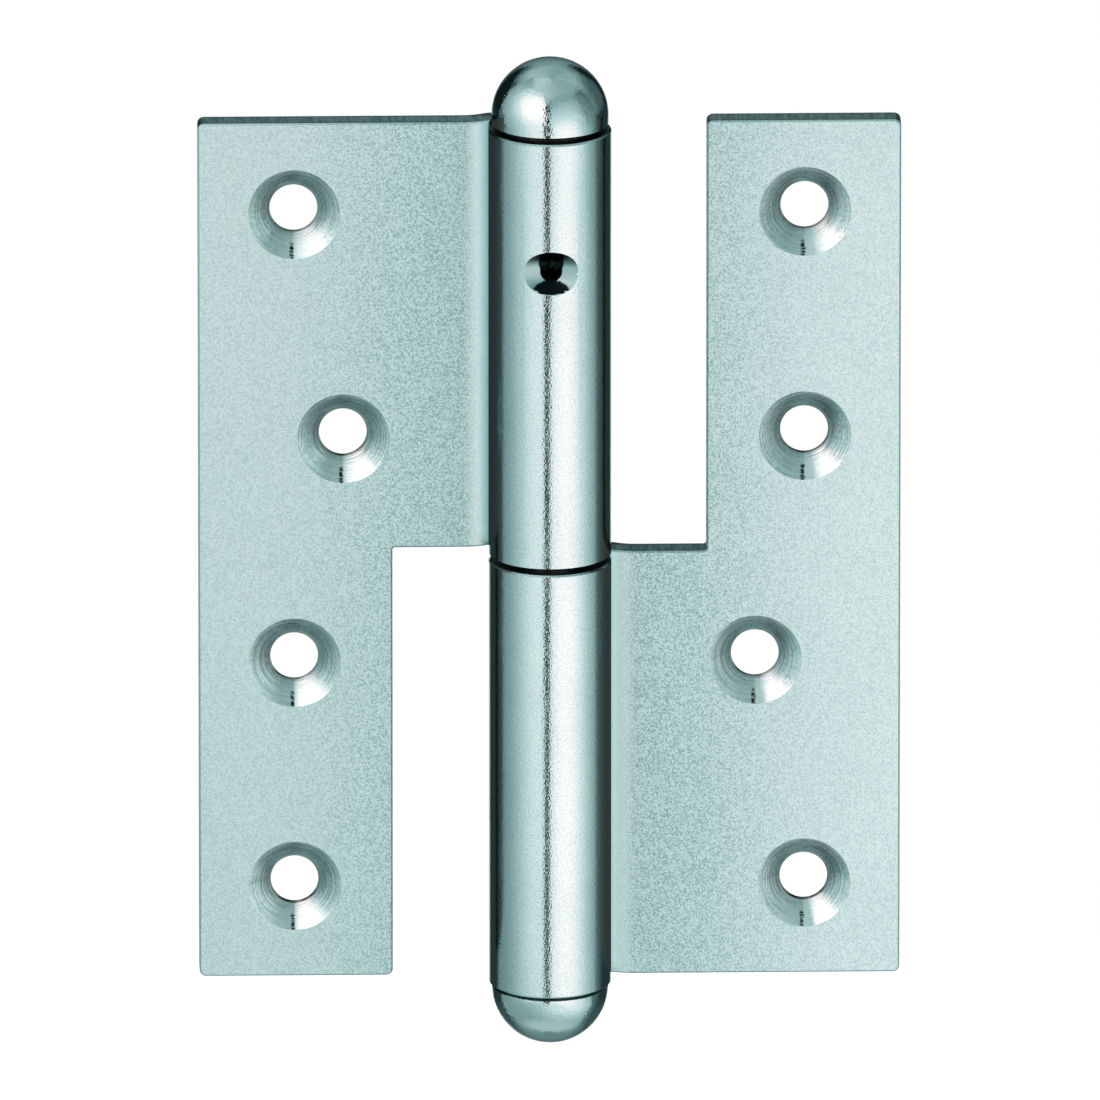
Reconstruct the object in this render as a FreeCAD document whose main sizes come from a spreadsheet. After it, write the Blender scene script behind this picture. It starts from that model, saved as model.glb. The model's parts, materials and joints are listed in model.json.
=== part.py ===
import FreeCAD, Part
import math
import os
import Sketcher

# A heavy lift-off mortise hinge, laid flat open.
# Origin: on the pin's axis, halfway up the leaves.
# +Z runs up the pin, -Y faces the side that the screws are driven from, -X is the door's side.

doc = FreeCAD.newDocument("MortiseHinge")

# Driving sizes in millimetres and degrees.
SIZES = [
    ("leaf_height", 160.0, "height of both leaves and of the whole barrel"),
    ("leaf_reach", 63.0, "pin axis to a leaf's outer edge"),
    ("sheet", 5.0, "sheet thickness"),
    ("barrel_radius", 11.0, "outside radius of the rolled knuckles"),
    ("crank_drop", 2.2, "how far the crank brings the leaf forward of the rolled sheet"),
    ("crank_start", 6.9, "pin axis to the start of the crank behind the barrel"),
    ("crank_length", 8.6, "length of the crank along the leaf"),
    ("seam_gap", 0.25, "gap between the rolled sheet's end and the crank, on the crank's lowest side"),
    ("knuckle_gap", 1.0, "gap between the two knuckles"),
    ("notch_reach", 28.2, "pin axis to the upright edge of the notch"),
    ("corner_radius", 1.2, "rounding of the leaf's corners"),
    ("notch_radius", 0.5, "rounding of the notch's inner corner"),
    ("trim", 2.0, "spare sheet that is trimmed off round the outline"),
    ("edge_break", 0.3, "chamfer of the sheet's cut edges"),
    ("outer_column", 45.8, "pin axis to the outer column of screw holes"),
    ("inner_column", 37.0, "pin axis to the inner screw hole"),
    ("row_pitch", 42.0, "spacing of the rows of screw holes"),
    ("screw_hole", 8.6, "diameter of a screw hole"),
    ("screw_sink", 16.6, "diameter of its countersink at the face"),
    ("screw_sink_angle", 82.0, "full angle of the countersink"),
    ("oil_below_top", 24.0, "upper end of the barrel down to the oil hole and the ball"),
    ("oil_hole", 4.0, "diameter of the oil hole"),
    ("oil_sink_depth", 1.9, "depth of the oil hole's countersink"),
    ("oil_sink_tall", 8.1, "height of that countersink on the barrel's front"),
    ("oil_sink_wide", 18.0, "its width in the same plane, where the barrel curves away"),
    ("running_clearance", 0.05, "radial clearance of the pin in the upper knuckle"),
    ("pin_chamfer", 0.8, "chamfer of the pin's and the spigots' ends"),
    ("ball_clearance", 0.5, "radial clearance of the bearing ball in the knuckle"),
    ("cap_inset", 0.5, "how much smaller than the barrel the domes are in radius"),
    ("collar_inset", 2.4, "how much smaller than the barrel the collars are in radius"),
    ("cap_rim_break", 0.3, "chamfer of a dome's rim"),
    ("top_cap_gap", 0.85, "height of the groove under the top dome"),
    ("top_cap_band", 1.6, "straight band of the top dome below its round part"),
    ("bottom_cap_gap", 0.35, "height of the groove above the bottom dome"),
    ("bottom_cap_band", 0.35, "straight band of the bottom dome"),
    ("bottom_spigot", 12.0, "length of the bottom cap's spigot"),
]

sheet = doc.addObject("Spreadsheet::Sheet", "Sizes")
for row, (alias, value, meaning) in enumerate(SIZES, start=1):
    sheet.set("A" + str(row), alias)
    sheet.set("B" + str(row), str(value))
    sheet.set("C" + str(row), meaning)
    sheet.setAlias("B" + str(row), alias)
doc.recompute()

# Formulas that several pieces share.
BORE = "(Sizes.barrel_radius - Sizes.sheet)"
HALF_HEIGHT = "(Sizes.leaf_height / 2)"
HALF_GAP = "(Sizes.knuckle_gap / 2)"
LEAF_FRONT = "(" + BORE + " - Sizes.crank_drop)"
OIL_HEIGHT = "(Sizes.leaf_height / 2 - Sizes.oil_below_top)"
BALL_RADIUS = "(" + BORE + " - Sizes.ball_clearance)"
PIN_TOP = "(" + OIL_HEIGHT + " - " + BALL_RADIUS + ")"
BALL_TOP = "(" + OIL_HEIGHT + " + " + BALL_RADIUS + ")"
CAP_RADIUS = "(Sizes.barrel_radius - Sizes.cap_inset)"
COLLAR_RADIUS = "(Sizes.barrel_radius - Sizes.collar_inset)"
PIN_FOOT = "(Sizes.bottom_spigot - Sizes.leaf_height / 2)"


def measure(formula):
    """The present value of a formula."""
    return float(sheet.evalExpression(formula))


def times(sign, formula):
    """The formula, or its negative where the sign is -1."""
    return formula if sign > 0 else "-1 * " + formula


def origin_plane(body, role):
    """One of the body's own origin planes."""
    return next(item for item in body.Origin.OriginFeatures if item.Role == role)


def add_sketch(body, name, role, offset="0"):
    """A sketch on an origin plane of the body, moved along the plane's normal by a formula."""
    sketch = body.newObject("Sketcher::SketchObject", name)
    sketch.AttachmentSupport = (origin_plane(body, role), "")
    sketch.MapMode = "FlatFace"
    sketch.setExpression("AttachmentOffset.Base.z", offset)
    return sketch


def tie(sketch, kind, elements, formula):
    """A dimension of the sketch that follows a formula."""
    index = sketch.addConstraint(Sketcher.Constraint(kind, *elements, measure(formula)))
    sketch.setExpression("Constraints[" + str(index) + "]", formula)


def point(corner):
    """A corner, given as two formulas, as a vector."""
    return FreeCAD.Vector(measure(corner[0]), measure(corner[1]), 0)


def arc_between(start, end, radius, turn, long_way):
    """The arc from start to end that turns left (turn 1) or right (turn -1)."""
    chord = end - start
    flat = math.sqrt(max(radius ** 2 - (chord.Length / 2) ** 2, 0))
    rise = radius + flat if long_way else radius - flat
    outward = FreeCAD.Vector(chord.y, -chord.x, 0).normalize()
    middle = (start + end) / 2 + outward * rise * turn
    first, last = (start, end) if turn > 0 else (end, start)
    return Part.ArcOfCircle(first, middle, last)


def add_outline(sketch, corners, arcs):
    """A closed outline through the corners, in order, with straight sides unless an arc is given.

    arcs maps the number of a side's first corner to (radius formula, turn, long_way).
    """
    first_side = sketch.GeometryCount
    ends = []
    for number, corner in enumerate(corners):
        start, end = point(corner), point(corners[(number + 1) % len(corners)])
        if number in arcs:
            radius, turn, long_way = arcs[number]
            side = sketch.addGeometry(arc_between(start, end, measure(radius), turn, long_way))
            ends.append((1, 2) if turn > 0 else (2, 1))
        else:
            side = sketch.addGeometry(Part.LineSegment(start, end))
            ends.append((1, 2))
    for number, corner in enumerate(corners):
        side, before = first_side + number, (number - 1) % len(corners)
        sketch.addConstraint(Sketcher.Constraint(
            "Coincident", first_side + before, ends[before][1], side, ends[number][0]))
    for number, corner in enumerate(corners):
        side = first_side + number
        tie(sketch, "DistanceX", (side, ends[number][0]), corner[0])
        tie(sketch, "DistanceY", (side, ends[number][0]), corner[1])
        if number in arcs:
            tie(sketch, "Radius", (side,), arcs[number][0])


def add_circle(sketch, across, up, radius):
    """A circle whose centre and radius are formulas."""
    circle = Part.Circle(point((across, up)), FreeCAD.Vector(0, 0, 1), measure(radius))
    side = sketch.addGeometry(circle)
    tie(sketch, "DistanceX", (side, 3), across)
    tie(sketch, "DistanceY", (side, 3), up)
    tie(sketch, "Radius", (side,), radius)


def add_ellipse(sketch, up, half_wide, half_tall):
    """An upright-centred ellipse that is wider than tall."""
    centre = point(("0", up))
    wide_end = centre + FreeCAD.Vector(measure(half_wide), 0, 0)
    tall_end = centre + FreeCAD.Vector(0, measure(half_tall), 0)
    side = sketch.addGeometry(Part.Ellipse(wide_end, tall_end, centre))
    sketch.exposeInternalGeometry(side)
    sketch.addConstraint(Sketcher.Constraint("PointOnObject", side, 3, -2))
    sketch.addConstraint(Sketcher.Constraint("Horizontal", side + 1))
    tie(sketch, "DistanceY", (side, 3), up)
    tie(sketch, "Distance", (side + 1,), "2 * " + half_wide)
    tie(sketch, "Distance", (side + 2,), "2 * " + half_tall)


def leaf_profile(sketch, sign):
    """The bent sheet seen along the pin: flat leaf, crank and rolled knuckle."""
    front, back = LEAF_FRONT, "(" + LEAF_FRONT + " + Sizes.sheet)"
    outside = "Sizes.barrel_radius"
    crank_end = "(Sizes.crank_start + Sizes.crank_length)"
    bend = "((Sizes.crank_drop^2 + Sizes.crank_length^2) / (4 * Sizes.crank_drop))"
    tight = "(" + bend + " - Sizes.sheet / 2)"
    wide = "(" + bend + " + Sizes.sheet / 2)"
    seam_reach = "(sqrt(" + outside + "^2 - " + LEAF_FRONT + "^2) - Sizes.crank_start)"
    seam_drop = "(" + tight + " - sqrt(" + tight + "^2 - " + seam_reach + "^2))"
    seam_sine = "((" + BORE + " - " + seam_drop + " - Sizes.seam_gap) / " + outside + ")"
    seam_cosine = "sqrt(1 - " + seam_sine + "^2)"
    along = "(Sizes.crank_start + {0} * Sizes.crank_length / (2 * " + bend + "))"
    across = "({1} - {0} * Sizes.crank_drop / (2 * " + bend + "))"
    corners = [
        ("Sizes.leaf_reach", front),
        (crank_end, front),
        (along.format(tight), across.format(tight, BORE)),
        ("Sizes.crank_start", BORE),
        ("0", BORE),
        (BORE + " * " + seam_cosine, BORE + " * " + seam_sine),
        (outside + " * " + seam_cosine, outside + " * " + seam_sine),
        ("0", outside),
        ("Sizes.crank_start", outside),
        (along.format(wide), across.format(wide, outside)),
        (crank_end, back),
        ("Sizes.leaf_reach", back),
    ]
    arcs = {
        1: (wide, -sign, False),
        2: (tight, sign, False),
        4: (BORE, sign, True),
        6: (outside, -sign, True),
        8: (wide, -sign, False),
        9: (tight, sign, False),
    }
    add_outline(sketch, [(times(sign, x), y) for x, y in corners], arcs)


def leaf_blank(sketch, sign):
    """Spare sheet outside the leaf's outline, as a frame round it."""
    past = "(Sizes.leaf_reach + Sizes.trim)"
    over = "(" + HALF_HEIGHT + " + 2 * Sizes.trim)"
    low = "(-1 * (Sizes.barrel_radius + Sizes.trim))"
    beyond = "(-1 * (Sizes.barrel_radius + 2 * Sizes.trim))"
    add_outline(sketch, [
        (times(sign, beyond), times(sign, "(-1 * " + over + ")")),
        (times(sign, past), times(sign, "(-1 * " + over + ")")),
        (times(sign, past), times(sign, over)),
        (times(sign, beyond), times(sign, over)),
    ], {})
    reach, notch, top = "Sizes.leaf_reach", "Sizes.notch_reach", HALF_HEIGHT
    foot = "(-1 * " + HALF_HEIGHT + ")"
    split = "(-1 * " + HALF_GAP + ")"
    corner, inner = "Sizes.corner_radius", "Sizes.notch_radius"
    keep = [
        (low, foot),
        ("(" + reach + " - " + corner + ")", foot),
        (reach, "(" + foot + " + " + corner + ")"),
        (reach, "(" + top + " - " + corner + ")"),
        ("(" + reach + " - " + corner + ")", top),
        ("(" + notch + " + " + corner + ")", top),
        (notch, "(" + top + " - " + corner + ")"),
        (notch, "(" + split + " + " + inner + ")"),
        ("(" + notch + " - " + inner + ")", split),
        (low, split),
    ]
    arcs = {
        1: (corner, 1, False),
        3: (corner, 1, False),
        5: (corner, 1, False),
        7: (inner, -1, False),
    }
    add_outline(sketch, [(times(sign, x), times(sign, y)) for x, y in keep], arcs)


def cut_through(body, name, sketch):
    """A pocket right through the body, both ways from its sketch."""
    pocket = body.newObject("PartDesign::Pocket", name)
    pocket.Profile = sketch
    pocket.Type = "ThroughAll"
    pocket.Midplane = True
    doc.recompute()
    return pocket


def build_leaf(label, sign):
    """A leaf with its knuckle. sign 1 has it below on the right, -1 above on the left."""
    body = doc.addObject("PartDesign::Body", label)
    body.Label = label
    profile = add_sketch(body, label + "_profile", "XY_Plane")
    leaf_profile(profile, sign)
    bent = body.newObject("PartDesign::Pad", label + "_bent_sheet")
    bent.Profile = profile
    bent.Midplane = True
    bent.setExpression("Length", "Sizes.leaf_height + 2 * Sizes.trim")
    doc.recompute()
    blank = add_sketch(body, label + "_outline", "XZ_Plane")
    leaf_blank(blank, sign)
    cut_through(body, label + "_trimmed", blank)
    holes = add_sketch(body, label + "_screw_places", "XZ_Plane", "-1 * " + LEAF_FRONT)
    for rows, column in ((1.5, "outer"), (0.5, "outer"), (-0.5, "inner"), (-1.5, "outer")):
        across = times(sign, "Sizes." + column + "_column")
        up = times(sign, "(" + str(rows) + " * Sizes.row_pitch)")
        add_circle(holes, across, up, "(Sizes.screw_hole / 2)")
    doc.recompute()
    sunk = body.newObject("PartDesign::Hole", label + "_screw_holes")
    sunk.Profile = holes
    sunk.DepthType = "ThroughAll"
    sunk.ThreadType = "None"
    sunk.HoleCutType = "Countersink"
    sunk.HoleCutCustomValues = True
    sunk.setExpression("Diameter", "Sizes.screw_hole")
    sunk.setExpression("HoleCutDiameter", "Sizes.screw_sink")
    sunk.setExpression("HoleCutCountersinkAngle", "Sizes.screw_sink_angle")
    doc.recompute()
    return body


def is_cut_face(face):
    """Whether the face is one that cutting the blank left, rather than a face of the sheet."""
    surface = face.Surface
    if isinstance(surface, Part.Plane):
        return abs(surface.Axis.z) > 0.999 or abs(surface.Axis.x) > 0.999
    if isinstance(surface, Part.Cylinder) and abs(surface.Axis.y) > 0.999:
        rounds = (measure("Sizes.corner_radius"), measure("Sizes.notch_radius"))
        return any(abs(surface.Radius - radius) < 0.001 for radius in rounds)
    return False


def cut_edges(shape):
    """The names of the edges between cut faces and the faces of the sheet."""
    names = set()
    for face in filter(is_cut_face, shape.Faces):
        for edge in face.Edges:
            run = edge.lastVertex().Point - edge.firstVertex().Point
            if math.hypot(run.x, run.z) > 0.001:
                index = next(i for i, other in enumerate(shape.Edges, 1) if other.isSame(edge))
                names.add("Edge" + str(index))
    return sorted(names)


def break_cut_edges(body, name):
    """Chamfer the edges that cutting the blank left sharp."""
    base = body.Tip
    broken = body.newObject("PartDesign::Chamfer", name)
    broken.Base = (base, cut_edges(base.Shape))
    broken.setExpression("Size", "Sizes.edge_break")
    doc.recompute()


def drill_oil_hole(body):
    """The oil hole on the knuckle's front, sunk before the sheet was rolled, so it is wide."""
    outer = add_sketch(body, "oil_sink_outside", "XZ_Plane", "Sizes.barrel_radius")
    add_ellipse(outer, OIL_HEIGHT, "(Sizes.oil_sink_wide / 2)", "(Sizes.oil_sink_tall / 2)")
    depth = "Sizes.barrel_radius - Sizes.oil_sink_depth"
    inner = add_sketch(body, "oil_sink_inside", "XZ_Plane", depth)
    add_circle(inner, "0", OIL_HEIGHT, "(Sizes.oil_hole / 2)")
    doc.recompute()
    sink = body.newObject("PartDesign::SubtractiveLoft", "oil_sink")
    sink.Profile = outer
    sink.Sections = [inner]
    sink.Ruled = True
    doc.recompute()
    place = add_sketch(body, "oil_place", "XZ_Plane", "Sizes.barrel_radius")
    add_circle(place, "0", OIL_HEIGHT, "(Sizes.oil_hole / 2)")
    doc.recompute()
    hole = body.newObject("PartDesign::Pocket", "oil_way")
    hole.Profile = place
    hole.Type = "Length"
    hole.setExpression("Length", "Sizes.barrel_radius")
    doc.recompute()


def turned_body(label, corners, arcs):
    """A body turned about the pin's axis from half its outline, given as (radius, height)."""
    body = doc.addObject("PartDesign::Body", label)
    body.Label = label
    sketch = add_sketch(body, label + "_outline", "XZ_Plane")
    add_outline(sketch, corners, arcs)
    turned = body.newObject("PartDesign::Revolution", label + "_turned")
    turned.Profile = sketch
    turned.ReferenceAxis = (sketch, ["V_Axis"])
    turned.Angle = 360
    doc.recompute()
    return body


def build_pin():
    """The pin: its lower part fills the lower knuckle and its upper part runs in the other."""
    running = "(" + BORE + " - Sizes.running_clearance)"
    bevel = "Sizes.pin_chamfer"
    step = "(-1 * " + HALF_GAP + ")"
    return turned_body("hinge_pin", [
        ("0", PIN_FOOT),
        ("(" + BORE + " - " + bevel + ")", PIN_FOOT),
        (BORE, "(" + PIN_FOOT + " + " + bevel + ")"),
        (BORE, step),
        (running, step),
        (running, "(" + PIN_TOP + " - " + bevel + ")"),
        ("(" + running + " - " + bevel + ")", PIN_TOP),
        ("0", PIN_TOP),
    ], {})


def build_cap(label, sign, spigot_end, gap, band):
    """A domed plug on the upper (sign 1) or lower (sign -1) end of the barrel."""
    bevel, rim = "Sizes.pin_chamfer", "Sizes.cap_rim_break"
    seat = HALF_HEIGHT
    under = "(" + seat + " + " + gap + ")"
    shoulder = "(" + under + " + " + band + ")"
    corners = [
        ("0", spigot_end),
        ("(" + BORE + " - " + bevel + ")", spigot_end),
        (BORE, "(" + spigot_end + " + " + bevel + ")"),
        (BORE, seat),
        (COLLAR_RADIUS, seat),
        (COLLAR_RADIUS, under),
        ("(" + CAP_RADIUS + " - " + rim + ")", under),
        (CAP_RADIUS, "(" + under + " + " + rim + ")"),
        (CAP_RADIUS, shoulder),
        ("0", "(" + shoulder + " + " + CAP_RADIUS + ")"),
    ]
    arcs = {8: (CAP_RADIUS, sign, False)}
    return turned_body(label, [(across, times(sign, up)) for across, up in corners], arcs)


def build_ball():
    """The steel ball between the pin's end and the top cap's spigot."""
    ball = doc.addObject("Part::Sphere", "bearing_ball")
    ball.Label = "bearing_ball"
    ball.setExpression("Radius", BALL_RADIUS)
    ball.setExpression("Placement.Base.z", OIL_HEIGHT)
    return ball


frame_leaf = build_leaf("frame_leaf", 1)
door_leaf = build_leaf("door_leaf", -1)
drill_oil_hole(door_leaf)
for leaf in (frame_leaf, door_leaf):
    break_cut_edges(leaf, leaf.Label + "_edges")
hinge_pin = build_pin()
bearing_ball = build_ball()
top_cap = build_cap("top_cap", 1, BALL_TOP, "Sizes.top_cap_gap", "Sizes.top_cap_band")
bottom_cap = build_cap(
    "bottom_cap", -1, "(-1 * " + PIN_FOOT + ")", "Sizes.bottom_cap_gap", "Sizes.bottom_cap_band")
doc.recompute()

for item in doc.Objects:
    if "Invalid" in item.State or "Error" in item.State:
        raise RuntimeError(item.Name + " did not compute")

os.makedirs("parts", exist_ok=True)
for piece in (frame_leaf, door_leaf, hinge_pin, bearing_ball, top_cap, bottom_cap):
    shape = piece.Shape
    if not shape.isValid() or len(shape.Solids) != 1:
        raise RuntimeError(piece.Label + " is not one valid solid")
    shape.exportStep("parts/" + piece.Label + ".step")
    print(piece.Label, round(shape.Volume, 1), shape.BoundBox)
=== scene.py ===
import json
import math

import bpy
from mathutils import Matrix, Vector

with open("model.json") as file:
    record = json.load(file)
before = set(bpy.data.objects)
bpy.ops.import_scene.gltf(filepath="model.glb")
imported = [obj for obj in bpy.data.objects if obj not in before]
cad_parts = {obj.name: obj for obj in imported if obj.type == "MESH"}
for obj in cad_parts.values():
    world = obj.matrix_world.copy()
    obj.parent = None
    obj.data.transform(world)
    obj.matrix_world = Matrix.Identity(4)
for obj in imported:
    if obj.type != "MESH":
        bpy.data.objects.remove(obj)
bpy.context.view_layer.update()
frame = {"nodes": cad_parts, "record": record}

MM = 0.001

# The camera: far off with a long lens, as the photograph's straight verticals ask
PHOTO_SIDE = 1100
MM_PER_PIXEL = 0.1794
CAMERA_AZIMUTH = -1.3
CAMERA_ELEVATION = 17.1
CAMERA_DISTANCE = 8.0
CLIP_END = 20.0
SENSOR_WIDTH = 24.0
AIM_HEIGHT = 1.04 * MM

# The studio: cloth round the hinge, which only its metal sees, above a pale floor. Directions are
# in degrees, azimuth and elevation, as unit_vector takes them.
STUDIO_RADIUS = 0.42
PANEL_RADIUS = 0.38
CLOTH_STEP = 3
LEFT_END = -115.0
SLOT_LEFT = -11.0
SLOT_RIGHT = -2.2
RIGHT_END = 94.0
CLOTH_FOOT = -71.0
LEFT_TOP = 76.0
RIGHT_TOP = 52.0
STRIP_TOP = -33.0
FLOOR_HEIGHT = -0.45
FLOOR_RADIUS = 1.2
FLOOR_CORNERS = 96
FLOOR_GREY = 0.8
FLOOR_GLOW = 0.75
WORLD_LIGHT = 0.5

# How much red the cloth's glow holds, from dim to bright
WARMTH = ((0.0, 0.55), (0.1, 0.65), (0.3, 0.75), (0.64, 0.90), (0.9, 1.0), (1.2, 1.29), (3.0, 1.35))

# Zinc plate is pale grey with a green and blue cast, and the rest leans the same way
ZINC = (0.60, 0.80, 0.80, 1.0)
ZINC_DULL = (0.53, 0.73, 0.73, 1.0)
# The flats: their own colour far from the knuckle, and with painted shade near it
FLAT_FAR = (0.62, 0.87, 0.86, 1.0)
FLAT_NEAR_SHADED = (0.54, 0.79, 0.79, 1.0)
# The crank's painted highlight
CRANK_HIGHLIGHT = (0.73, 0.98, 0.97, 1.0)
PIT = (0.09, 0.30, 0.31, 1.0)
TURNED = (0.78, 0.98, 0.98, 1.0)
TURNED_DULL = (0.40, 0.60, 0.60, 1.0)
SHADED = (0.08, 0.15, 0.15, 1.0)
EDGE_DARK = (0.22, 0.34, 0.34, 1.0)
EDGE_PALE = (0.45, 0.62, 0.62, 1.0)
STEEL = (0.46, 0.60, 0.60, 1.0)
STEEL_DULL = (0.32, 0.42, 0.42, 1.0)
FUNNEL = (0.27, 0.47, 0.47, 1.0)
# Painted shade, near black and uneven: in the recesses, along the sheet's arrises, and where mirrored
# rays see the plate
PAINTED_SHADE = (0.035, 0.05, 0.05, 1.0)
PAINTED_SHADE_THIN = (0.10, 0.13, 0.13, 1.0)
# The ball's grease, near black as painted shade inside the bore
GREASE_SHADE = (0.05, 0.05, 0.045, 1.0)
BLACK = (0.006, 0.012, 0.012, 1.0)

# The screw holes, from the mounts: four rows a leaf, and one middle row stands nearer the knuckle
MOUNTS = {mount["name"]: mount for mount in frame["record"]["mounts"]}
OUTER_COLUMN = MOUNTS["frame_leaf_end_screws"]["pos_m"][0]
INNER_COLUMN = 2 * MOUNTS["frame_leaf_middle_screws"]["pos_m"][0] - OUTER_COLUMN
ROW_PITCH = MOUNTS["frame_leaf_end_screws"]["dims"]["spacing_y_mm"] * MM / 3
ROWS = [(row - 1.5) * ROW_PITCH for row in range(4)]
COUNTERSINK_REACH = 8.4 * MM
THROUGH_HOLE = 4.3 * MM
SINK_ANGLE = 82.0

# The barrel: its radius, its bore and half its height, the middle of the sheet at a leaf's flat,
# and the oil hole's height and its countersink's reach
BARREL = 11.0 * MM
BORE = 6.0 * MM
HALF_HEIGHT = 80.0 * MM
SHEET_MIDDLE = 6.3 * MM
OIL_HEIGHT = 56.0 * MM
OIL_REACH = 4.3 * MM

# The grooves' heights, under the top dome (True) and above the bottom dome (False)
GROOVE = {True: 0.85 * MM, False: 0.35 * MM}

# A leaf outwards from the pin's axis: the crank's start, its last bend and its end, and the flat
# from where it is coarsest to where it is finest
CRANK_START = 12.3 * MM
BEND_END = 15.5 * MM
CRANK_END = 16.0 * MM
FLAT_COARSE = 13.0 * MM
FLAT_FINE = 58.0 * MM

# The finishes' roughness
FLAT_ROUGH = 0.4
CRANK_ROUGH = 0.34
KNUCKLE_ROUGH = 0.1
EDGE_ROUGH = 0.34
FUNNEL_ROUGH = 0.25
TURNED_ROUGH = 0.2

# A countersink: the turn, in radians, just before and just after 6 o'clock, at which its painted shade
# meets its painted highlight, how the cone's dish steepens, and how strongly its rings stretch what they
# mirror
SECTOR_EDGE_BEFORE = -1.60
SECTOR_EDGE_AFTER = -1.55
DISH_SLOPE = -0.12
DISH_CURVE = -22.0
RING_STRETCH = 0.9

# How steeply the crank's last bend curves the mirrored light
BEND_CURVE = 22.0

# How far a face's normal may stray from a countersink's slope, and where it counts as an end face
# of the barrel or as a side face of the sheet
SLOPE_SLACK = 0.04
END_FACE = 0.95
SIDE_FACE = 0.6


def unit_vector(azimuth, elevation):
    """The direction at these degrees, azimuth 0 towards -Y and 90 towards +X."""
    turn, rise = math.radians(azimuth), math.radians(elevation)
    return Vector((math.sin(turn) * math.cos(rise), -math.cos(turn) * math.cos(rise), math.sin(rise)))


def smooth(low, high, value):
    """0 below low, 1 above high, and an S-shaped step between them."""
    share = min(1.0, max(0.0, (value - low) / (high - low)))
    return share * share * (3 - 2 * share)


def between(start, full, last, end, value):
    """1 from full to last, and S-shaped steps from start and to end, with 0 outside."""
    return smooth(start, full, value) * (1 - smooth(last, end, value))


def hot_spot(azimuth, elevation, centre, spread):
    """How much of a softbox's glow shows at a direction: 1 at its centre, less towards its rim."""
    across = (azimuth - centre[0]) / spread[0]
    along = (elevation - centre[1]) / spread[1]
    return math.exp(-0.5 * (across * across + along * along))


def add_camera():
    """The photograph's camera: its frame is as wide as the photograph at the hinge's distance."""
    data = bpy.data.cameras.new("camera")
    data.sensor_width = SENSOR_WIDTH
    data.lens = SENSOR_WIDTH * CAMERA_DISTANCE / (PHOTO_SIDE * MM_PER_PIXEL * MM)
    data.clip_end = CLIP_END
    camera = bpy.data.objects.new("camera", data)
    aim = Vector((0, 0, AIM_HEIGHT))
    camera.location = aim + CAMERA_DISTANCE * unit_vector(CAMERA_AZIMUTH, CAMERA_ELEVATION)
    camera.rotation_euler = (aim - camera.location).to_track_quat("-Z", "Y").to_euler()
    bpy.context.scene.collection.objects.link(camera)
    bpy.context.scene.camera = camera


def new_tree(owner):
    """An empty node tree of a material or world."""
    owner.use_nodes = True
    owner.node_tree.nodes.clear()
    return owner.node_tree


def new_material(name):
    """A material, and its empty node tree."""
    made = bpy.data.materials.new(name)
    return made, new_tree(made)


def add(tree, kind, inputs=None, **settings):
    """A node whose inputs are numbers or colours to set, or other nodes' outputs to link."""
    node = tree.nodes.new(kind)
    for setting, value in settings.items():
        setattr(node, setting, value)
    for key, value in (inputs or {}).items():
        if isinstance(value, bpy.types.NodeSocket):
            tree.links.new(value, node.inputs[key])
        else:
            node.inputs[key].default_value = value
    return node


def calc(tree, operation, *values):
    """The result of a Math node."""
    return add(tree, "ShaderNodeMath", dict(enumerate(values)), operation=operation).outputs[0]


def plus(tree, first, second):
    """The sum of two numbers."""
    return calc(tree, "ADD", first, second)


def minus(tree, first, second):
    """The first number less the second."""
    return calc(tree, "SUBTRACT", first, second)


def times(tree, first, second):
    """The product of two numbers."""
    return calc(tree, "MULTIPLY", first, second)


def size_of(tree, value):
    """A number without its sign."""
    return calc(tree, "ABSOLUTE", value)


def larger(tree, first, second):
    """The larger of two numbers."""
    return calc(tree, "MAXIMUM", first, second)


def sum_of_squares(tree, first, second):
    """One number squared plus another squared."""
    return plus(tree, times(tree, first, first), times(tree, second, second))


def ramp(tree, value, low, high, at_low, at_high):
    """A smooth step of value from at_low to at_high."""
    inputs = {"Value": value, "From Min": low, "From Max": high, "To Min": at_low, "To Max": at_high}
    return add(tree, "ShaderNodeMapRange", inputs, interpolation_type="SMOOTHSTEP").outputs[0]


def below(tree, value, low, high):
    """1 where value is below low, and 0 above high."""
    return ramp(tree, value, low, high, 1.0, 0.0)


def above(tree, value, low, high):
    """0 where value is below low, and 1 above high."""
    return ramp(tree, value, low, high, 0.0, 1.0)


def noise(tree, where, scale, detail=2.0, roughness=0.5):
    """A Noise Texture's value, about 0.5 on average."""
    inputs = {"Vector": where, "Scale": scale, "Detail": detail, "Roughness": roughness}
    return add(tree, "ShaderNodeTexNoise", inputs).outputs[0]


def blend(tree, factor, first, second):
    """A mix of two colours."""
    inputs = {0: factor, 6: first, 7: second}
    return add(tree, "ShaderNodeMix", inputs, data_type="RGBA").outputs[2]


def mix(tree, factor, first, second):
    """A mix of two numbers."""
    return add(tree, "ShaderNodeMix", {0: factor, 2: first, 3: second}).outputs[0]


def point(tree, x, y, z):
    """A vector of three numbers."""
    return add(tree, "ShaderNodeCombineXYZ", {0: x, 1: y, 2: z}).outputs[0]


def mirrored(tree):
    """1 where a mirrored ray sees the surface, and 0 where the camera sees it."""
    return add(tree, "ShaderNodeLightPath").outputs["Is Glossy Ray"]


def finish(tree, colour, roughness, height, **more):
    """A metal shader, with height in metres as its bump, and further inputs by their names."""
    bump = add(tree, "ShaderNodeBump", {"Height": height, "Strength": 1.0, "Distance": 1.0})
    inputs = {"Base Color": colour, "Metallic": 1.0, "Roughness": roughness, "Normal": bump.outputs[0]}
    inputs.update(more)
    shader = add(tree, "ShaderNodeBsdfPrincipled", inputs)
    add(tree, "ShaderNodeOutputMaterial", {"Surface": shader.outputs[0]})


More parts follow.
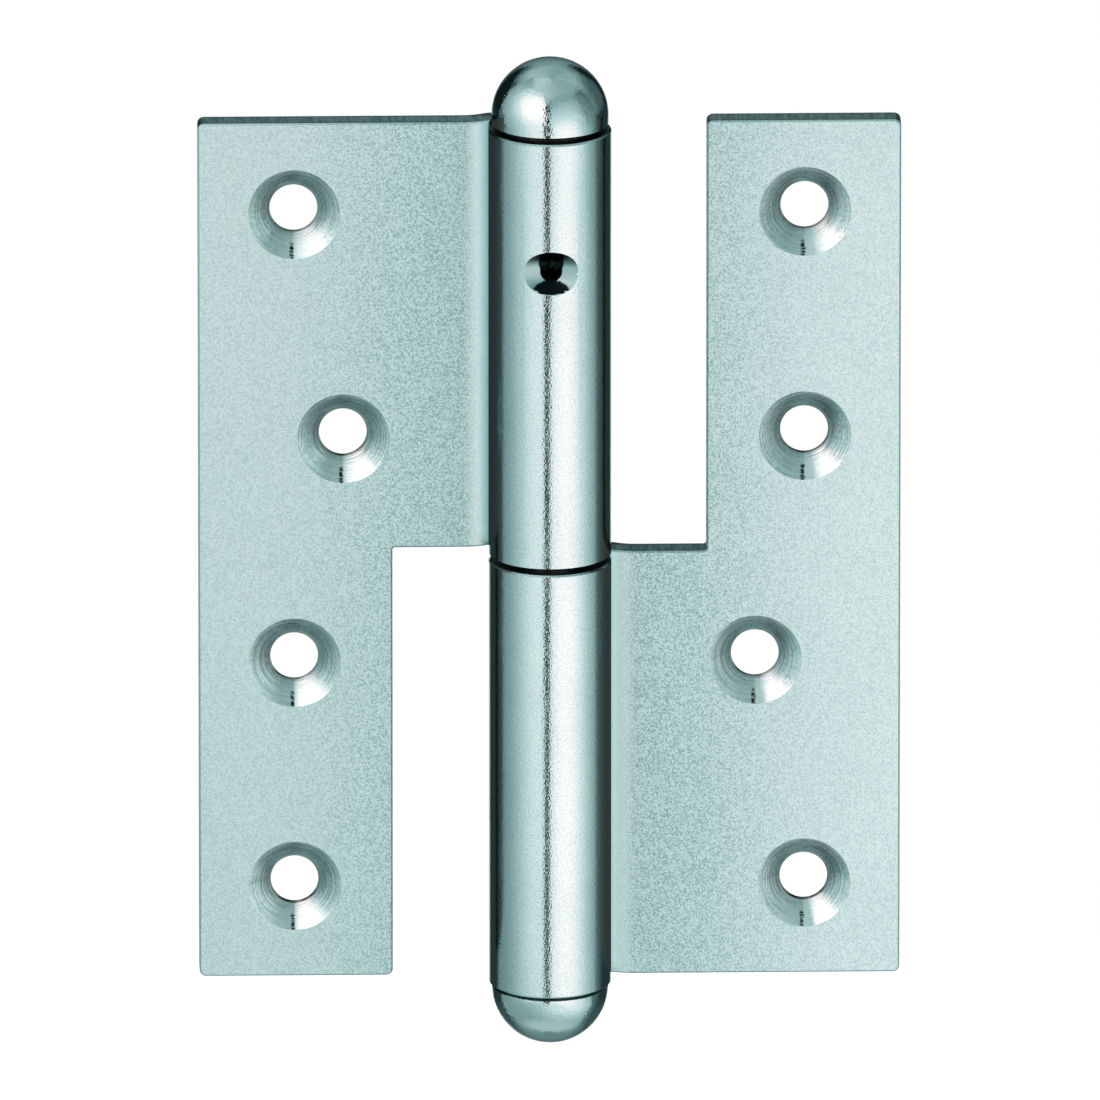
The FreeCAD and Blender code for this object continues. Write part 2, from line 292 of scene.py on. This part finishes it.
def object_place(tree):
    """The point in the piece's own space, whole and as its three coordinates."""
    where = add(tree, "ShaderNodeTexCoord").outputs["Object"]
    return [where, *add(tree, "ShaderNodeSeparateXYZ", {0: where}).outputs]


def leaf_material():
    """Zinc on rolled sheet: blasted grain on the flats, smoother on the crank and the knuckle."""
    made, tree = new_material("leaf_zinc_plate")
    where, x, y, _ = object_place(tree)
    from_axis = size_of(tree, x)
    radius = calc(tree, "SQRT", sum_of_squares(tree, x, y))

    # The regions: the knuckle, the flats near it, and the crank, which rolling has left smoother
    knuckle = below(tree, radius, 11.1 * MM, 12.0 * MM)
    near = below(tree, from_axis, FLAT_COARSE, FLAT_FINE)
    crank = below(tree, from_axis, CRANK_START, CRANK_END)
    rolled = minus(tree, 1.0, times(tree, crank, 0.8))

    # The bump: grain on the flats, the crank's last bend, and speckle on the knuckle
    grain = noise(tree, where, 3300.0, 2.0, 0.7)
    grain_depth = times(tree, grain, ramp(tree, near, 0.0, 1.0, 0.06 * MM, 0.14 * MM))
    in_bend = larger(tree, minus(tree, BEND_END, from_axis), 0.0)
    bend = times(tree, times(tree, in_bend, in_bend), BEND_CURVE)
    flat_height = plus(tree, times(tree, grain_depth, rolled), bend)
    knuckle_height = times(tree, noise(tree, where, 3000.0, 1.0), 0.029 * MM)
    height = mix(tree, knuckle, flat_height, knuckle_height)

    # The colour: pits in the grain, painted shade on the flats towards the knuckle, and clouds and
    # flecks on the knuckle
    cloud = above(tree, noise(tree, where, 70.0, 3.0, 0.6), 0.35, 0.7)
    pit = times(tree, below(tree, grain, 0.36, 0.6), ramp(tree, near, 0.0, 1.0, 0.3, 0.65))
    flat_colour = blend(tree, near, FLAT_FAR, FLAT_NEAR_SHADED)
    # Painted highlight: the crank is made paler
    flat_colour = blend(tree, crank, flat_colour, CRANK_HIGHLIGHT)
    flat_colour = blend(tree, times(tree, pit, rolled), flat_colour, PIT)
    # Painted shade: where a mirrored ray sees the flats, they turn near black, so the knuckle's sides
    # mirror no leaf
    flat_colour = blend(tree, mirrored(tree), flat_colour, PAINTED_SHADE)
    fleck = times(tree, below(tree, noise(tree, where, 3600.0, 1.0), 0.35, 0.55), 0.22)
    knuckle_colour = blend(tree, times(tree, cloud, 0.5), ZINC, ZINC_DULL)
    knuckle_colour = blend(tree, fleck, knuckle_colour, PIT)
    colour = blend(tree, knuckle, flat_colour, knuckle_colour)

    flat_roughness = plus(tree, times(tree, cloud, 0.05), FLAT_ROUGH)
    roughness = mix(tree, knuckle, mix(tree, crank, flat_roughness, CRANK_ROUGH), KNUCKLE_ROUGH)
    finish(tree, colour, roughness, height)
    return made


def edge_material():
    """Sheared sheet edges: darker, with fine marks across the sheet, painted shade along the arrises,
    and painted shade where mirrored rays see them.
    """
    made, tree = new_material("cut_edges")
    _, x, y, z = object_place(tree)
    marks = noise(tree, point(tree, x, times(tree, y, 0.15), z), 1500.0, 2.0, 0.6)
    colour = blend(tree, above(tree, marks, 0.35, 0.65), EDGE_DARK, EDGE_PALE)
    # Painted shade: darker towards the front and back arrises, and near black where a mirrored ray sees
    # the edge
    off_middle = size_of(tree, minus(tree, y, SHEET_MIDDLE))
    arris_shade = ramp(tree, off_middle, 1.3 * MM, 2.2 * MM, 0.0, 0.8)
    colour = blend(tree, larger(tree, arris_shade, mirrored(tree)), colour, PAINTED_SHADE)
    finish(tree, colour, EDGE_ROUGH, times(tree, marks, 0.03 * MM))
    return made


def recess_shade_material():
    """Painted shade in the bores, the grooves and the gap between the knuckles: a near black, uneven
    film.
    """
    made, tree = new_material("painted_shade_film")
    smear = noise(tree, object_place(tree)[0], 400.0, 3.0, 0.6)
    colour = blend(tree, ramp(tree, smear, 0.3, 0.7, 0.0, 0.6), PAINTED_SHADE, PAINTED_SHADE_THIN)
    finish(tree, colour, ramp(tree, smear, 0.3, 0.7, 0.3, 0.5), times(tree, smear, 0.01 * MM))
    return made


def funnel_material():
    """The oil hole's countersink: bare at its sides, black low down and in a streak round the hole, with
    painted shade towards its top.
    """
    made, tree = new_material("oil_funnel")
    where, x, _, z = object_place(tree)
    ragged_noise = noise(tree, where, 900.0, 3.0, 0.6)

    # A black ellipse low in the countersink, with a ragged rim
    drop = plus(tree, z, times(tree, ragged_noise, 0.8 * MM))
    low = calc(tree, "DIVIDE", minus(tree, drop, OIL_HEIGHT - 2.8 * MM), 1.6 * MM)
    wide = calc(tree, "DIVIDE", x, 3.3 * MM)
    black_patch = below(tree, sum_of_squares(tree, low, wide), 0.8, 1.1)

    # A black streak round the hole, wider at its top
    half_wide = ramp(tree, z, OIL_HEIGHT - 2.0 * MM, OIL_HEIGHT + 1.5 * MM, 0.9 * MM, 2.1 * MM)
    black_streak = below(tree, minus(tree, size_of(tree, x), half_wide), 0.0, 0.3 * MM)

    top_shade = ramp(tree, z, OIL_HEIGHT + 0.5 * MM, OIL_HEIGHT + 3.0 * MM, 0.0, 0.8)
    bare = blend(tree, top_shade, FUNNEL, BLACK)
    colour = blend(tree, larger(tree, black_patch, black_streak), bare, BLACK)
    finish(tree, colour, FUNNEL_ROUGH, times(tree, ragged_noise, 0.03 * MM))
    return made


def cap_material():
    """Zinc on turned steel, polished by hand and a little uneven."""
    made, tree = new_material("cap_zinc_plate")
    where = object_place(tree)[0]
    swell = times(tree, noise(tree, where, 260.0), 0.10 * MM)
    dents = times(tree, noise(tree, where, 700.0, 3.0, 0.6), 0.06 * MM)
    pits = times(tree, noise(tree, where, 2600.0, 1.0), 0.022 * MM)
    cloud = noise(tree, where, 120.0, 3.0, 0.6)
    colour = blend(tree, times(tree, cloud, 0.4), ZINC, ZINC_DULL)
    roughness = ramp(tree, cloud, 0.3, 0.7, 0.03, 0.08)
    finish(tree, colour, roughness, plus(tree, swell, plus(tree, dents, pits)))
    return made


def pin_material():
    """Ground steel: fine rings round the pin."""
    made, tree = new_material("ground_pin_steel")
    where, _, _, z = object_place(tree)
    rings = noise(tree, point(tree, 0.0, 0.0, z), 5000.0, 2.0, 0.6)
    smear = noise(tree, where, 90.0, 3.0, 0.6)
    colour = blend(tree, times(tree, smear, 0.3), STEEL, STEEL_DULL)
    finish(tree, colour, ramp(tree, smear, 0.3, 0.7, 0.2, 0.3), times(tree, rings, 0.004 * MM))
    return made


def ball_material():
    """A bearing ball under grease, near black as painted shade inside the bore."""
    made, tree = new_material("greased_ball_painted_shade")
    smear = noise(tree, object_place(tree)[0], 300.0, 3.0, 0.6)
    colour = blend(tree, above(tree, smear, 0.35, 0.65), BLACK, GREASE_SHADE)
    finish(tree, colour, ramp(tree, smear, 0.3, 0.7, 0.15, 0.35), times(tree, smear, 0.01 * MM))
    return made


def countersink_material(name, odd_row):
    """Turned metal in a leaf's four countersinks: fine rings round each screw's axis."""
    made, tree = new_material(name)
    where, x, _, z = object_place(tree)

    # The place within the nearest countersink: sideways, upwards, out from its axis, and round it
    up = minus(tree, calc(tree, "WRAP", z, ROW_PITCH, 0.0), ROW_PITCH / 2)
    in_odd_row = calc(tree, "COMPARE", z, odd_row, ROW_PITCH / 2)
    column = mix(tree, in_odd_row, OUTER_COLUMN, INNER_COLUMN)
    side = times(tree, calc(tree, "SIGN", x), minus(tree, size_of(tree, x), column))
    out = calc(tree, "SQRT", sum_of_squares(tree, side, up))
    turn = calc(tree, "ARCTAN2", up, side)
    past_hole = minus(tree, out, THROUGH_HOLE)

    # The cutter's rings, a little uneven round the axis and different in each row, and its chatter
    waver = times(tree, calc(tree, "COSINE", turn), 0.3 * MM)
    rings = noise(tree, point(tree, out, waver, minus(tree, z, up)), 3400.0, 2.0, 0.6)
    chatter = noise(tree, where, 1600.0, 2.0, 0.6)

    # Painted light round 6 o'clock: a painted highlight on one side, where the rings' dull marks are
    # left out, and painted shade on the other
    past_sector_edge = above(tree, turn, SECTOR_EDGE_BEFORE, SECTOR_EDGE_AFTER)
    highlight_sector = times(tree, past_sector_edge, below(tree, turn, -0.9, -0.6))
    shade_sector = times(tree, ramp(tree, turn, -2.6, -1.9, 0.0, 0.5), minus(tree, 1.0, past_sector_edge))
    marks = plus(tree, times(tree, rings, 0.6), times(tree, chatter, 0.4))
    dull = times(tree, ramp(tree, marks, 0.4, 0.56, 0.75, 0.0), minus(tree, 1.0, highlight_sector))
    colour = blend(tree, larger(tree, dull, shade_sector), TURNED, TURNED_DULL)

    # Black: in a mark at 6 o'clock, and at the rim just below the through hole
    ragged = plus(tree, side, times(tree, chatter, 1.1 * MM))
    off_mark = size_of(tree, minus(tree, ragged, 0.17 * MM))
    mark_at_six = times(tree, below(tree, off_mark, 0.2 * MM, 0.45 * MM), below(tree, up, -6.3 * MM, -5.8 * MM))
    rim = times(tree, below(tree, past_hole, 0.1 * MM, 0.35 * MM), below(tree, up, -3.2 * MM, -1.0 * MM))
    black_marks = times(tree, larger(tree, mark_at_six, rim), ramp(tree, rings, 0.42, 0.56, 1.0, 0.45))
    colour = blend(tree, black_marks, colour, BLACK)
    colour = blend(tree, mirrored(tree), colour, SHADED)

    # The bump: the rings and the chatter, on a slightly dished cone
    dish = times(tree, past_hole, plus(tree, times(tree, past_hole, DISH_CURVE), DISH_SLOPE))
    height = plus(tree, times(tree, rings, 0.04 * MM), times(tree, chatter, 0.008 * MM))
    outwards = add(tree, "ShaderNodeVectorTransform", {0: point(tree, side, 0.0, up)},
                   vector_type="VECTOR", convert_from="OBJECT", convert_to="WORLD").outputs[0]
    height = plus(tree, height, dish)
    finish(tree, colour, TURNED_ROUGH, height, Anisotropic=RING_STRETCH, Tangent=outwards)
    return made


def surround_level(azimuth, elevation):
    """The glow of the cloth all round: dark beside its back, bright low behind, grey above."""
    behind = abs(azimuth)
    drop = -elevation
    front = 1 - smooth(100, 116, behind)
    slit = between(-19, -12, -1, 6, azimuth) * (1 - smooth(40, 52, abs(elevation)))
    base = 0.012 + 0.03 * smooth(-8, 5, drop) + 0.05 * smooth(32, 42, drop)
    base += 0.125 * front * (1 - slit)
    base += 0.12 * smooth(0, 15, elevation) * between(90, 100, 132, 150, azimuth)
    overhead = smooth(35, 62, elevation) * (0.46 - 0.14 * math.sin(math.radians(azimuth)))
    underneath = smooth(50, 68, drop) * (0.18 + 0.24 * (1 - smooth(60, 150, behind)))
    low_back = 0.75 * between(-1, 9, 30, 48, drop)
    back = smooth(156, 164, behind) * (0.10 + 0.25 * smooth(10, 55, elevation) + low_back)
    return base + max(overhead, underneath, back)


def fade(glow, azimuth, elevation, share):
    """A softbox's glow, one for both low down, and faded into the surrounding cloth's by a share."""
    low = 0.38 + 0.72 * hot_spot(azimuth, elevation, (42, -35), (48 if azimuth < 42 else 32, 20))
    glow += smooth(29, 38, -elevation) * (low - glow)
    share = max(share, smooth(56, 70, -elevation))
    return glow + share * (surround_level(azimuth, elevation) - glow)


def left_level(azimuth, elevation):
    """The left softbox: brightest and widest above the hinge's middle."""
    wide = 34 + 6 * smooth(-17, 25, elevation)
    glow = 0.28 + 0.77 * hot_spot(azimuth, elevation, (-23, 3), (wide, 45))
    glow += 0.70 * hot_spot(azimuth, elevation, (-45, 42), (34, 17))
    glow += 0.08 * hot_spot(azimuth, elevation, (-22, -28), (32, 10))
    return fade(glow, azimuth, elevation, smooth(0, 8, elevation - 61 + 0.06 * azimuth))


def right_level(azimuth, elevation):
    """The right softbox: brightest below the hinge's middle, and dim towards its upper right."""
    dim = 0.45 * smooth(55, 85, azimuth) * smooth(-17, 10, elevation)
    glow = 0.10 + 1.19 * hot_spot(azimuth, elevation, (28, -20), (40, 48)) * (1 - dim)
    return fade(glow, azimuth, elevation, 0.0)


def under_level(azimuth, elevation):
    """The strip that closes the gap between the softboxes below the hinge."""
    share = (azimuth - SLOT_LEFT) / (SLOT_RIGHT - SLOT_LEFT)
    left, right = left_level(SLOT_LEFT, elevation), right_level(SLOT_RIGHT, elevation)
    return left * (1 - share) + right * share


def warmth(level):
    """How much red a glow holds: dim cloth leans to green and blue, and the brightest is warm."""
    return next(warm + (level - low) * (next_warm - warm) / (high - low)
                for (low, warm), (high, next_warm) in zip(WARMTH, WARMTH[1:]) if level <= high)


def glow_material():
    """Cloth that glows by its glow attribute."""
    made, tree = new_material("studio_cloth")
    glow = add(tree, "ShaderNodeAttribute", attribute_name="glow").outputs["Color"]
    light = add(tree, "ShaderNodeEmission", {"Color": glow, "Strength": 1.0})
    add(tree, "ShaderNodeOutputMaterial", {"Surface": light.outputs[0]})
    return made


def add_mesh(name, points, faces, material):
    """A mesh object for the studio."""
    mesh = bpy.data.meshes.new(name)
    mesh.from_pydata(points, [], faces)
    mesh.materials.append(material)
    made = bpy.data.objects.new(name, mesh)
    bpy.context.scene.collection.objects.link(made)
    return made


def add_cloth(name, azimuths, elevations, radius, level, material):
    """A patch of a ball round the hinge, whose glow is worked out at each corner."""
    columns = round((azimuths[1] - azimuths[0]) / CLOTH_STEP)
    rows = round((elevations[1] - elevations[0]) / CLOTH_STEP)
    points, glow = [], []
    for i in range(rows + 1):
        elevation = elevations[0] + (elevations[1] - elevations[0]) * i / rows
        for j in range(columns + 1):
            azimuth = azimuths[0] + (azimuths[1] - azimuths[0]) * j / columns
            points.append(radius * unit_vector(azimuth, elevation))
            strength = level(azimuth, elevation)
            glow.extend((strength * warmth(strength), strength, strength, 1.0))
    wide = columns + 1
    firsts = [i * wide + j for i in range(rows) for j in range(columns)]
    faces = [(first, first + 1, first + wide + 1, first + wide) for first in firsts]
    cloth = add_mesh(name, points, faces, material)
    cloth.data.attributes.new("glow", "FLOAT_COLOR", "POINT").data.foreach_set("color", glow)
    cloth.visible_camera = False


def background_rays(tree):
    """1 for the rays that see the background: from the camera, and off or through gloss."""
    paths = add(tree, "ShaderNodeLightPath").outputs
    seen = larger(tree, paths["Is Camera Ray"], paths["Is Glossy Ray"])
    return larger(tree, seen, paths["Is Transmission Ray"])


def add_world():
    """A white background, and a softer white as light."""
    world = bpy.data.worlds.new("studio_world")
    tree = new_tree(world)
    strength = mix(tree, background_rays(tree), WORLD_LIGHT, 1.0)
    light = add(tree, "ShaderNodeBackground", {"Color": (1, 1, 1, 1), "Strength": strength})
    add(tree, "ShaderNodeOutputWorld", {"Surface": light.outputs[0]})
    bpy.context.scene.world = world


def add_floor():
    """A round pale floor, open when seen from below."""
    material, tree = new_material("studio_floor")
    matt = add(tree, "ShaderNodeBsdfDiffuse", {"Color": (FLOOR_GREY, FLOOR_GREY, FLOOR_GREY, 1.0)})
    glow = times(tree, background_rays(tree), FLOOR_GLOW)
    white = add(tree, "ShaderNodeEmission", {"Color": (1, 1, 1, 1), "Strength": glow})
    pale = add(tree, "ShaderNodeAddShader", {0: matt.outputs[0], 1: white.outputs[0]})
    clear = add(tree, "ShaderNodeBsdfTransparent")
    under = add(tree, "ShaderNodeNewGeometry").outputs["Backfacing"]
    surface = add(tree, "ShaderNodeMixShader", {0: under, 1: pale.outputs[0], 2: clear.outputs[0]})
    add(tree, "ShaderNodeOutputMaterial", {"Surface": surface.outputs[0]})
    rim = [FLOOR_RADIUS * unit_vector(360 * i / FLOOR_CORNERS, 0) for i in range(FLOOR_CORNERS)]
    points = [(corner.x, corner.y, FLOOR_HEIGHT) for corner in rim]
    floor = add_mesh("floor", points, [tuple(range(FLOOR_CORNERS))], material)


def dress(node, choose, *materials):
    """Gives a CAD node its materials, and each of its faces the one that choose picks."""
    piece = frame["nodes"][node]
    piece.data.materials.clear()
    for material in materials:
        piece.data.materials.append(material)
    for face in piece.data.polygons:
        face.material_index = choose(face.center, face.normal)


def in_countersink(centre, normal, odd_row):
    """Whether a leaf's face is part of one of its countersinks, by its slope and its place."""
    if abs(abs(normal.y) - math.sin(math.radians(SINK_ANGLE / 2))) > SLOPE_SLACK:
        return False
    for row in ROWS:
        column = INNER_COLUMN if abs(row - odd_row) < MM else OUTER_COLUMN
        if math.hypot(abs(centre.x) - column, centre.z - row) < COUNTERSINK_REACH:
            return True
    return False


def leaf_choice(odd_row):
    """Picks a leaf's material: 0 plate, 1 countersink, 2 cut edge, 3 painted shade in the bore and on
    the barrel's end faces, 4 oil funnel.
    """
    def choose(centre, normal):
        radius = math.hypot(centre.x, centre.y)
        in_barrel = radius < BARREL
        if in_countersink(centre, normal, odd_row):
            return 1
        if radius < BORE + 0.3 * MM or (in_barrel and abs(normal.z) > END_FACE):
            return 3
        if radius < BARREL - 0.1 * MM and centre.y < 0 and abs(centre.z - OIL_HEIGHT) < OIL_REACH:
            return 4
        if radius > BARREL + MM and abs(normal.y) < SIDE_FACE:
            return 2
        return 0
    return choose


def cap_choice(centre, normal):
    """Picks a cap's material: 0 plate, 1 painted shade on the collar, the spigot and the dome's flat
    side.
    """
    return 0 if abs(centre.z) > HALF_HEIGHT + GROOVE[centre.z > 0] + 0.02 * MM else 1


def plain_choice(centre, normal):
    """Picks a piece's only material."""
    return 0


add_camera()
plate = leaf_material()
edges = edge_material()
recess_shade = recess_shade_material()
for leaf, odd in (("door_leaf", ROW_PITCH / 2), ("frame_leaf", -ROW_PITCH / 2)):
    turned = countersink_material(leaf + "_countersinks", odd)
    dress(leaf, leaf_choice(odd), plate, turned, edges, recess_shade, funnel_material())
caps = cap_material()
dress("top_cap", cap_choice, caps, recess_shade)
dress("bottom_cap", cap_choice, caps, recess_shade)
dress("hinge_pin", plain_choice, pin_material())
dress("bearing_ball", plain_choice, ball_material())

add_world()
add_floor()
glowing = glow_material()
for name, azimuths, elevations, radius, level in (
        ("surround", (-180, 180), (-90, 90), STUDIO_RADIUS, surround_level),
        ("left_softbox", (LEFT_END, SLOT_LEFT), (CLOTH_FOOT, LEFT_TOP), PANEL_RADIUS, left_level),
        ("right_softbox", (SLOT_RIGHT, RIGHT_END), (CLOTH_FOOT, RIGHT_TOP), PANEL_RADIUS, right_level),
        ("under_strip", (SLOT_LEFT, SLOT_RIGHT), (CLOTH_FOOT, STRIP_TOP), PANEL_RADIUS, under_level)):
    add_cloth(name, azimuths, elevations, radius, level, glowing)
bpy.context.scene.view_settings.view_transform = "Standard"
